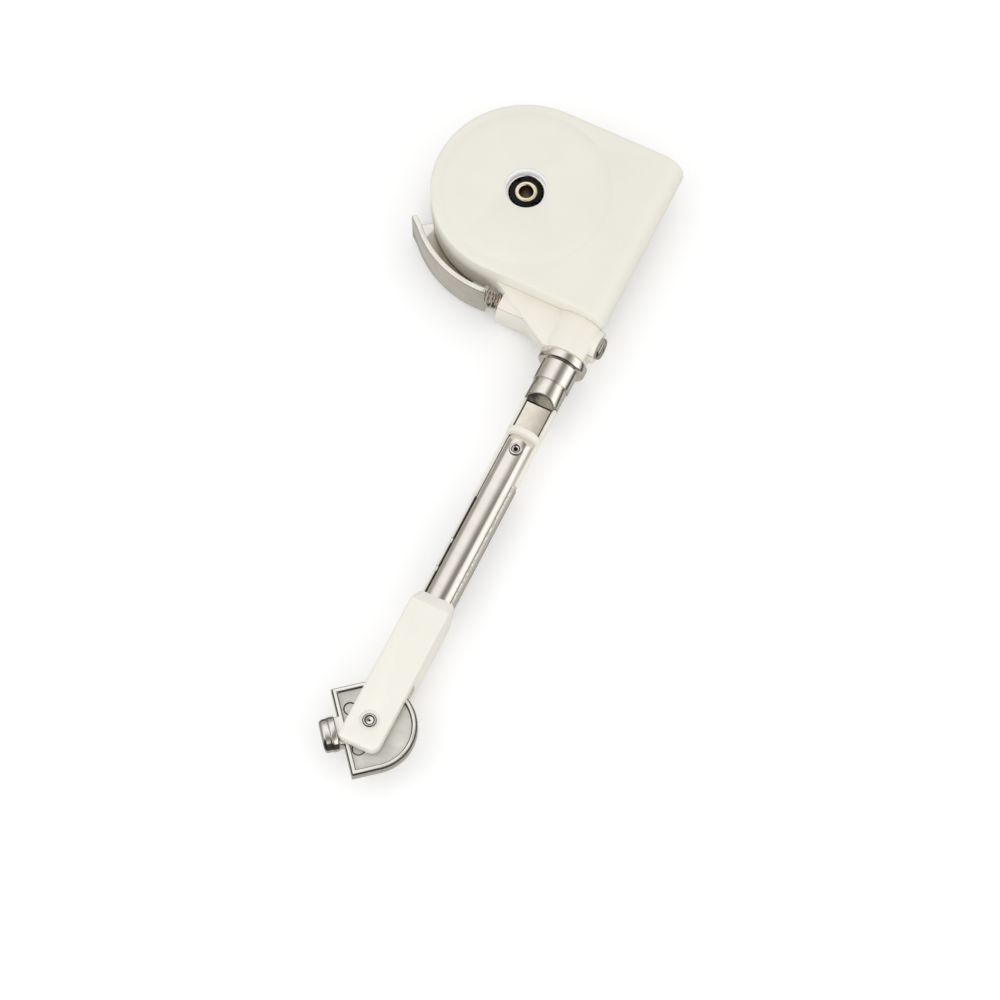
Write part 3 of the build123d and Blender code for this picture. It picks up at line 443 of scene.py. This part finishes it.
def smooth(piece, angle):
    """Smooth shading that stays crisp past an angle in degrees."""
    mesh = piece.data
    mesh.polygons.foreach_set("use_smooth", [True] * len(mesh.polygons))
    mesh.set_sharp_from_angle(angle=math.radians(angle))
    mesh.update()


def finish_node(node, material):
    """Gives a frame node its finish in place."""
    slots = frame["nodes"][node].material_slots
    for slot in slots:
        slot.link = "OBJECT"
        slot.material = material


# Lamps: to the right of the stay, beyond it, above it, width (m) and power (W).
LAMPS = (
    ("key", -0.70, -0.15, 0.85, 0.6, 1.0),
    ("fill", 0.80, -0.45, 0.45, 0.9, 1.3),
    ("front", -0.35, -0.95, 0.20, 0.8, 1.9),
)
TABLE_LIFT = 0.2                # glow that brings the lit table up to white
ROOM_LEVEL = 0.90               # light of the room on matt surfaces
NEAR_WALL = (0.70, 0.88, 0.06)  # near side of the room: where it darkens, and how far

# Brightness of the room round the arm's axis: degrees from overhead, to the right.
ROOM = (
    (-180, 0.46), (-150, 0.56), (-138, 0.42), (-127, 0.10), (-116, 0.14), (-107, 0.42),
    (-90, 0.40), (-82, 0.40), (-72, 0.50), (-61, 0.68), (-48, 0.87), (-35, 1.00),
    (-17, 1.03), (-8, 0.94), (0, 0.75), (7, 0.50), (13, 0.32), (20, 0.26), (27, 0.28),
    (34, 0.40), (40, 0.52), (46, 0.74), (53, 1.04), (60, 1.20), (78, 1.20), (86, 1.00),
    (98, 0.50), (106, 0.06), (114, 0.10), (126, 0.56), (150, 0.46), (180, 0.46),
)


# ------------------------------------------------------------------ operators

def settings():
    """The scene's colours, sizes and stage."""
    scene = bpy.context.scene
    return scene.lid_stay_colours, scene.lid_stay_sizes, scene.lid_stay_stage


class LIDSTAY_OT_shells(bpy.types.Operator):
    """Front cover and rear case in grained ivory"""
    bl_idname = "lid_stay.shells"
    bl_label = "Housing shells"

    def execute(self, context):
        colours, sizes, _ = settings()
        cover = moulded_plastic("cover_ivory", colours.shell, sizes.grain, 0.42)
        case = moulded_plastic(
            "case_ivory", colours.case, sizes.grain, 0.38, seam=CASE_SEAM,
        )
        dressed_copy("front_cover", cover, sizes.edge, angle=MOULDED_ANGLE)
        dressed_copy("rear_case", case, sizes.moulded_edge, angle=MOULDED_ANGLE)
        return {"FINISHED"}


class LIDSTAY_OT_face_bearing(bpy.types.Operator):
    """Ring, adjuster and bush in the face hole"""
    bl_idname = "lid_stay.face_bearing"
    bl_label = "Face bearing"

    def execute(self, context):
        colours, sizes, _ = settings()
        bright = metal_finish("bearing_nickel", colours.nickel, 0.10)
        black = metal_finish("black_steel", colours.black, 0.24, mottle=0.1)
        brass = metal_finish("turned_brass", colours.brass, 0.16, mottle=0.05)
        dressed_copy("bearing_washer", bright, TURNED_EDGE)
        dressed_copy("adjuster_ring", black, TURNED_EDGE)
        # Painted shade: the bush's bore is drawn in dark brown brass.
        bore_shade = metal_finish("bore_brass_painted_shade", srgb(120, 92, 48), 0.3, mottle=0.1)
        bush = dressed_copy("threaded_bush", brass, TURNED_EDGE)
        repaint(bush, bore_shade, lambda at, to: abs(to.z) < 0.2 and math.hypot(at.x, at.y) < THREAD_R)
        top = FACE_Z
        eyelet = turned("eyelet", (
            (6.30, 17.85), (5.70, 17.85), (5.70, top - 0.6), (5.82, top - 0.4),
            (6.10, top - 0.1), (6.22, top), (6.34, top), (6.34, 17.9),
        ), (0, 0, 0), (0, 0, 1))
        white = moulded_plastic("eyelet_white", srgb(244, 246, 248), sizes.grain, 0.25)
        eyelet.data.materials.append(white)
        smooth(eyelet, 32.0)
        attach(eyelet, frame["nodes"]["front_cover"]["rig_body"])
        return {"FINISHED"}


class LIDSTAY_OT_lever(bpy.types.Operator):
    """Pressed release lever and its spring"""
    bl_idname = "lid_stay.lever"
    bl_label = "Release lever"

    def execute(self, context):
        colours, _, _ = settings()
        pressed = metal_finish("pressed_nickel", colours.satin, 0.18, mottle=0.02)
        wire = metal_finish("spring_wire", colours.spring, 0.12)
        dressed_copy("release_lever", pressed, LEVER_EDGE, segments=3, clamp=False)
        self.spring(wire)
        return {"FINISHED"}

    def spring(self, wire):
        """Smooth coils in the place of the frame's spring, between the seat and the lever."""
        coils = frame["nodes"]["lever_spring"].copy()
        coils.name = "lever_spring_dressed"
        coils.data = coils.data.copy()
        coils.hide_render = coils.hide_viewport = False
        bpy.context.scene.collection.objects.link(coils)
        bpy.context.view_layer.update()
        place = coils.matrix_world.copy()
        coils.parent = None
        coils.matrix_world = place
        coils.data.materials.clear()
        coils.data.materials.append(wire)
        smooth(coils, 75.0)
        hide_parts("lever_spring")
        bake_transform(coils)


class LIDSTAY_OT_arm(bpy.types.Operator):
    """Turned arm, guide and front tube"""
    bl_idname = "lid_stay.arm"
    bl_label = "Arm"

    def execute(self, context):
        colours, sizes, _ = settings()
        bright = metal_finish("turned_nickel", colours.nickel, 0.10, lines=(0.06, 1.0, 0.06))
        # Painted shade: dark lines along both long edges of the blade, in the gaps beside the
        # guide.
        milled = metal_finish("milled_nickel", colours.milled, 0.34, mottle=0.14, painted_shade_lines=(
            ("X", BLADE[0], BLADE[0] + BLADE_LINE * MM),
            ("X", BLADE[1] - BLADE_LINE * MM, BLADE[1]),
        ))
        # Painted shade: the slanted shoulder is the milled nickel drawn darker, with a painted
        # shade line along its foot.
        shoulder = metal_finish(
            "shoulder_nickel_painted_shade", [0.62 * part for part in colours.milled], 0.22, mottle=0.2,
            painted_shade_lines=(("Z", *SHOULDER_FOOT),),
        )
        guide = moulded_plastic("guide_ivory", colours.case, sizes.grain, 0.38)
        drawn = metal_finish("drawn_nickel", colours.satin, 0.11, lines=(1.0, 0.02, 1.0))
        groove = turned("groove", (
            (4.88, GROOVE_Y[0]), (6.0, GROOVE_Y[0]), (6.0, GROOVE_Y[1]), (4.88, GROOVE_Y[1]),
        ), (ARM_X, 0, ARM_Z), (0, 1, 0))
        rod = dressed_copy("arm_rod", bright, ROD_EDGE, carve=(groove,), clamp=False)
        repaint(rod, milled, lambda at, to: at.y < NECK_Y and to.z > 0.3 and to.x < 0.1)
        # The shoulder's faces turned along -Y get the darker, shaded copy of the milled nickel.
        repaint(rod, shoulder, lambda at, to: (
            SHOULDER_Y[0] < at.y < SHOULDER_Y[1] and to.y < -0.25
        ))
        flanks = block((*FLANK[0], ARM_Z + FLANK_Z), (*FLANK[1], FACE_Z + 0.3))
        dressed_copy("guide", guide, sizes.edge, carve=(flanks,))
        tube = dressed_copy("front_tube", drawn, SHEET_EDGE)
        painted_shade = painted_shade_nickel(colours)
        # Painted shade and painted dark reflection: the front tube's faces left of its edge line
        # are drawn in near-black nickel.
        repaint(tube, painted_shade, lambda at, to: at.x < TUBE_EDGE_X)
        rolled = metal_finish(
            "rolled_nickel", colours.satin, 0.11, lines=(1.0, 0.02, 1.0), rag=LIP,
        )
        dressed_copy("outer_channel", rolled, SHEET_EDGE)
        return {"FINISHED"}


class LIDSTAY_OT_grip(bpy.types.Operator):
    """Ivory grip"""
    bl_idname = "lid_stay.grip"
    bl_label = "Grip"

    def execute(self, context):
        colours, sizes, _ = settings()
        ivory = moulded_plastic("grip_ivory", colours.grip, sizes.grain * 0.8, 0.4)
        dressed_copy("grip", ivory, sizes.moulded_edge, angle=MOULDED_ANGLE)
        return {"FINISHED"}


class LIDSTAY_OT_bracket(bpy.types.Operator):
    """Cast end bracket with its stud"""
    bl_idname = "lid_stay.bracket"
    bl_label = "End bracket"

    def execute(self, context):
        colours, _, _ = settings()
        bright = metal_finish("bracket_nickel", colours.nickel, 0.09)
        cast = metal_finish("cast_nickel", colours.cast, 0.5, mottle=0.1, metallic=0.4)
        bracket = dressed_copy(
            "end_bracket", bright, RIM_EDGE, segments=4, clamp=False,
        )
        repaint(
            bracket, cast,
            lambda at, to: abs(to.z) > 0.9 and abs(at.z - ARM_Z) < RECESS_DEPTH,
        )
        # Painted shade and painted dark reflection on the rim's rounded edges and the walls of the
        # recess.
        repaint(bracket, painted_shade_nickel(colours), self.inside)
        return {"FINISHED"}

    def inside(self, at, to):
        """Whether a face is on the rim's rounded edges or the wall of the recess; these faces get
        painted shade and painted dark reflection.
        """
        away = math.hypot(at.x - PIVOT[0], at.y - PIVOT[1])
        wall = abs(to.z) < 0.86 and RIM_FROM < at.z - ARM_Z < RIM_TO
        return wall and away > 4.0 and at.x > STUD_END_X


class LIDSTAY_OT_fasteners(bpy.types.Operator):
    """Screws and rivets that show"""
    bl_idname = "lid_stay.fasteners"
    bl_label = "Fasteners"

    def execute(self, context):
        colours, _, _ = settings()
        bright = metal_finish("fastener_nickel", colours.nickel, 0.10)
        dull = metal_finish("screw_nickel", [0.55 * part for part in colours.nickel], 0.16)
        dressed_copy("clamp_screw", dull, SHEET_EDGE)
        dressed_copy("case_screws", bright, SHEET_EDGE)
        head = ARM_Z + 6.1
        top = ARM_Z + 2.4
        painted_shade = painted_shade_nickel(colours)
        tube = self.rivet("tube_rivet", bright, (*TUBE_RIVET, 0.0), (
            (0.65, 4.33), (1.45, 4.33), (1.45, top - 0.45), (1.88, top - 0.45),
            (1.90, top + 0.10), (1.80, top + 0.33), (1.58, top + 0.45), (1.38, top + 0.42),
            (1.22, top + 0.24), (1.10, top + 0.05), (0.95, top - 0.05), (0.65, top - 0.2),
        ))
        # Painted shade and painted dark reflection in the tube rivet's hollow, in its groove and
        # round its outer wall.
        repaint(tube, painted_shade, self.ring(TUBE_RIVET, (0.0, 0.7), (1.0, 1.25), (1.84, 2.0)))
        pivot = self.rivet("pivot_rivet", bright, (*PIVOT, 0.0), (
            (0.22, 2.8), (1.50, 2.8), (1.95, 2.8), (1.95, 3.3), (1.50, 3.3),
            (1.50, head), (1.93, head), (1.95, head + 0.15), (1.70, head + 0.42),
            (1.58, head + 0.5), (1.46, head + 0.5), (1.28, head + 0.40), (1.14, head + 0.2),
            (1.04, head + 0.2), (0.34, head - 0.08), (0.26, head - 0.1), (0.22, head - 0.4),
        ))
        # Painted shade and painted dark reflection in the pivot rivet's hollow, in its groove and
        # round its outer wall.
        repaint(pivot, painted_shade, self.ring(PIVOT, (0.0, 0.35), (1.0, 1.4), (1.8, 2.0)))
        return {"FINISHED"}

    def ring(self, middle, *bands):
        """Test for faces that lie within bands of radius about a point."""
        def test(at, to):
            away = math.hypot(at.x - middle[0], at.y - middle[1])
            return any(low <= away <= high for low, high in bands)
        return test

    def rivet(self, node, material, place, profile):
        """A turned rivet in place of the frame's one."""
        piece = turned(node + "_dressed", profile, place, (0, 0, 1))
        piece.data.materials.append(material)
        smooth(piece, 40.0)
        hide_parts(node)
        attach(piece, frame["nodes"][node]["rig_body"])
        return piece


class LIDSTAY_OT_inner_parts(bpy.types.Operator):
    """Plate, hub, damper and washers inside the stay"""
    bl_idname = "lid_stay.inner_parts"
    bl_label = "Inner parts"

    def execute(self, context):
        colours, sizes, _ = settings()
        steel = metal_finish("plain_steel", colours.steel, 0.34, mottle=0.08)
        damper = moulded_plastic("damper_black", colours.damper, sizes.grain, 0.5)
        for node in ("mounting_plate", "hub_post", "chassis_plate", "damper_screws",
                     "friction_washers"):
            finish_node(node, steel)
        for node in ("damper_rotor", "damper_cup", "damper_cap"):
            finish_node(node, damper)
        return {"FINISHED"}


class LIDSTAY_OT_stage(bpy.types.Operator):
    """White table, soft lamps and the camera"""
    bl_idname = "lid_stay.stage"
    bl_label = "Stage"

    def execute(self, context):
        _, _, stage = settings()
        scene = context.scene
        aim = Vector(stage.aim)
        back = Vector((
            math.sin(stage.azimuth) * math.cos(stage.elevation),
            -math.cos(stage.azimuth) * math.cos(stage.elevation),
            math.sin(stage.elevation),
        ))
        lens = bpy.data.cameras.new("camera")
        lens.lens = stage.lens
        lens.sensor_width = 36.0
        lens.clip_start = 0.05
        camera = bpy.data.objects.new("camera", lens)
        camera.location = aim + back * stage.distance
        camera.rotation_euler = back.to_track_quat("Z", "Y").to_euler()
        scene.collection.objects.link(camera)
        scene.camera = camera
        self.table(scene)
        self.surroundings(scene)
        side = Vector((math.cos(stage.azimuth), math.sin(stage.azimuth), 0.0))
        ahead = Vector((-math.sin(stage.azimuth), math.cos(stage.azimuth), 0.0))
        up = Vector((0.0, 0.0, 1.0))
        for name, across, near, above, size, power in LAMPS:
            place = aim + side * across + ahead * near + up * above
            self.lamp(name, place, aim, size, power)
        scene.view_settings.view_transform = "Standard"
        return {"FINISHED"}

    def lamp(self, name, place, aim, size, power):
        """A square soft box that points at the stay and doesn't show in the metal."""
        light = bpy.data.lights.new(name, "AREA")
        light.size = size
        light.energy = power
        lamp = bpy.data.objects.new(name, light)
        lamp.location = place
        lamp.rotation_euler = (place - aim).to_track_quat("Z", "Y").to_euler()
        lamp.visible_glossy = False
        bpy.context.scene.collection.objects.link(lamp)

    def table(self, scene):
        """White table that keeps the stay's shadow."""
        mesh = bpy.data.meshes.new("table")
        work = bmesh.new()
        bmesh.ops.create_grid(work, x_segments=1, y_segments=1, size=3.0)
        work.to_mesh(mesh)
        work.free()
        table = bpy.data.objects.new("table", mesh)
        table.location = (0.0, 0.0, -0.0002)
        table.visible_glossy = False
        scene.collection.objects.link(table)
        shader = Shader("table_white", (0.86, 0.86, 0.86), 0.0, 0.9)
        paths = shader.node("ShaderNodeLightPath")
        glow = shader.node("ShaderNodeEmission")
        glow.inputs["Color"].default_value = (1.0, 1.0, 1.0, 1.0)
        lift = shader.node("ShaderNodeMath", operation="MULTIPLY")
        lift.inputs[1].default_value = TABLE_LIFT
        shader.link(paths.outputs["Is Camera Ray"], lift.inputs[0])
        shader.link(lift.outputs[0], glow.inputs["Strength"])
        both = shader.node("ShaderNodeAddShader")
        shader.link(shader.bsdf.outputs[0], both.inputs[0])
        shader.link(glow.outputs[0], both.inputs[1])
        shader.link(both.outputs[0], shader.tree.nodes["Material Output"].inputs["Surface"])
        mesh.materials.append(shader.material)

    def surroundings(self, scene):
        """White room; polished metal shows its soft boxes and the dark gaps between them."""
        world = bpy.data.worlds.new("white_room")
        world.use_nodes = True
        scene.world = world
        tree = world.node_tree
        link = tree.links.new
        where = tree.nodes.new("ShaderNodeTexCoord")
        parts = tree.nodes.new("ShaderNodeSeparateXYZ")
        link(where.outputs["Generated"], parts.inputs["Vector"])
        turn = tree.nodes.new("ShaderNodeMath")
        turn.operation = "ARCTAN2"
        link(parts.outputs["X"], turn.inputs[0])
        link(parts.outputs["Z"], turn.inputs[1])
        share = tree.nodes.new("ShaderNodeMapRange")
        share.inputs["From Min"].default_value = -math.pi
        share.inputs["From Max"].default_value = math.pi
        link(turn.outputs[0], share.inputs["Value"])
        room = tree.nodes.new("ShaderNodeValToRGB")
        link(share.outputs["Result"], room.inputs["Fac"])
        stops = room.color_ramp.elements
        while len(stops) < len(ROOM):
            stops.new(0.5)
        for stop, (angle, level) in zip(stops, ROOM):
            stop.position = (angle + 180.0) / 360.0
            warm = max(1.0 - level, 0.0)
            stop.color = (level, level * (1.0 - 0.06 * warm), level * (1.0 - 0.2 * warm), 1.0)
        near = tree.nodes.new("ShaderNodeMath")
        near.operation = "MULTIPLY"
        near.inputs[1].default_value = -1.0
        link(parts.outputs["Y"], near.inputs[0])
        wall = tree.nodes.new("ShaderNodeMapRange")
        wall.interpolation_type = "SMOOTHSTEP"
        wall.inputs["From Min"].default_value = NEAR_WALL[0]
        wall.inputs["From Max"].default_value = NEAR_WALL[1]
        wall.inputs["To Min"].default_value = 1.0
        wall.inputs["To Max"].default_value = NEAR_WALL[2]
        link(near.outputs[0], wall.inputs["Value"])
        shade = tree.nodes.new("ShaderNodeVectorMath")
        shade.operation = "SCALE"
        link(room.outputs["Color"], shade.inputs[0])
        link(wall.outputs["Result"], shade.inputs["Scale"])
        paths = tree.nodes.new("ShaderNodeLightPath")
        seen = tree.nodes.new("ShaderNodeMath")
        seen.operation = "MAXIMUM"
        link(paths.outputs["Is Camera Ray"], seen.inputs[0])
        link(paths.outputs["Is Transmission Ray"], seen.inputs[1])
        level = tree.nodes.new("ShaderNodeMapRange")
        level.inputs["To Min"].default_value = ROOM_LEVEL
        level.inputs["To Max"].default_value = 1.0
        link(seen.outputs[0], level.inputs["Value"])
        mirrored = tree.nodes.new("ShaderNodeMix")
        mirrored.data_type = "RGBA"
        link(paths.outputs["Is Glossy Ray"], mirrored.inputs["Factor"])
        link(level.outputs["Result"], mirrored.inputs["A"])
        link(shade.outputs["Vector"], mirrored.inputs["B"])
        link(mirrored.outputs["Result"], tree.nodes["Background"].inputs["Color"])


OPERATORS = (
    LIDSTAY_OT_shells, LIDSTAY_OT_face_bearing, LIDSTAY_OT_lever, LIDSTAY_OT_arm,
    LIDSTAY_OT_grip, LIDSTAY_OT_bracket, LIDSTAY_OT_fasteners, LIDSTAY_OT_inner_parts,
    LIDSTAY_OT_stage,
)


class LIDSTAY_PT_panel(bpy.types.Panel):
    """Lists the steps that dress the lid stay"""
    bl_idname = "LIDSTAY_PT_panel"
    bl_label = "Lid stay"
    bl_space_type = "VIEW_3D"
    bl_region_type = "UI"
    bl_category = "Lid stay"

    def draw(self, context):
        for operator in OPERATORS:
            self.layout.operator(operator.bl_idname)


CLASSES = (LidStayColours, LidStaySizes, LidStayStage, *OPERATORS, LIDSTAY_PT_panel)


def register():
    for cls in CLASSES:
        bpy.utils.register_class(cls)
    bpy.types.Scene.lid_stay_colours = bpy.props.PointerProperty(type=LidStayColours)
    bpy.types.Scene.lid_stay_sizes = bpy.props.PointerProperty(type=LidStaySizes)
    bpy.types.Scene.lid_stay_stage = bpy.props.PointerProperty(type=LidStayStage)


def unregister():
    del bpy.types.Scene.lid_stay_stage
    del bpy.types.Scene.lid_stay_sizes
    del bpy.types.Scene.lid_stay_colours
    for cls in reversed(CLASSES):
        bpy.utils.unregister_class(cls)


def main():
    register()
    for operator in OPERATORS:
        group, step = operator.bl_idname.split(".")
        getattr(getattr(bpy.ops, group), step)()


if __name__ == "__main__":
    main()
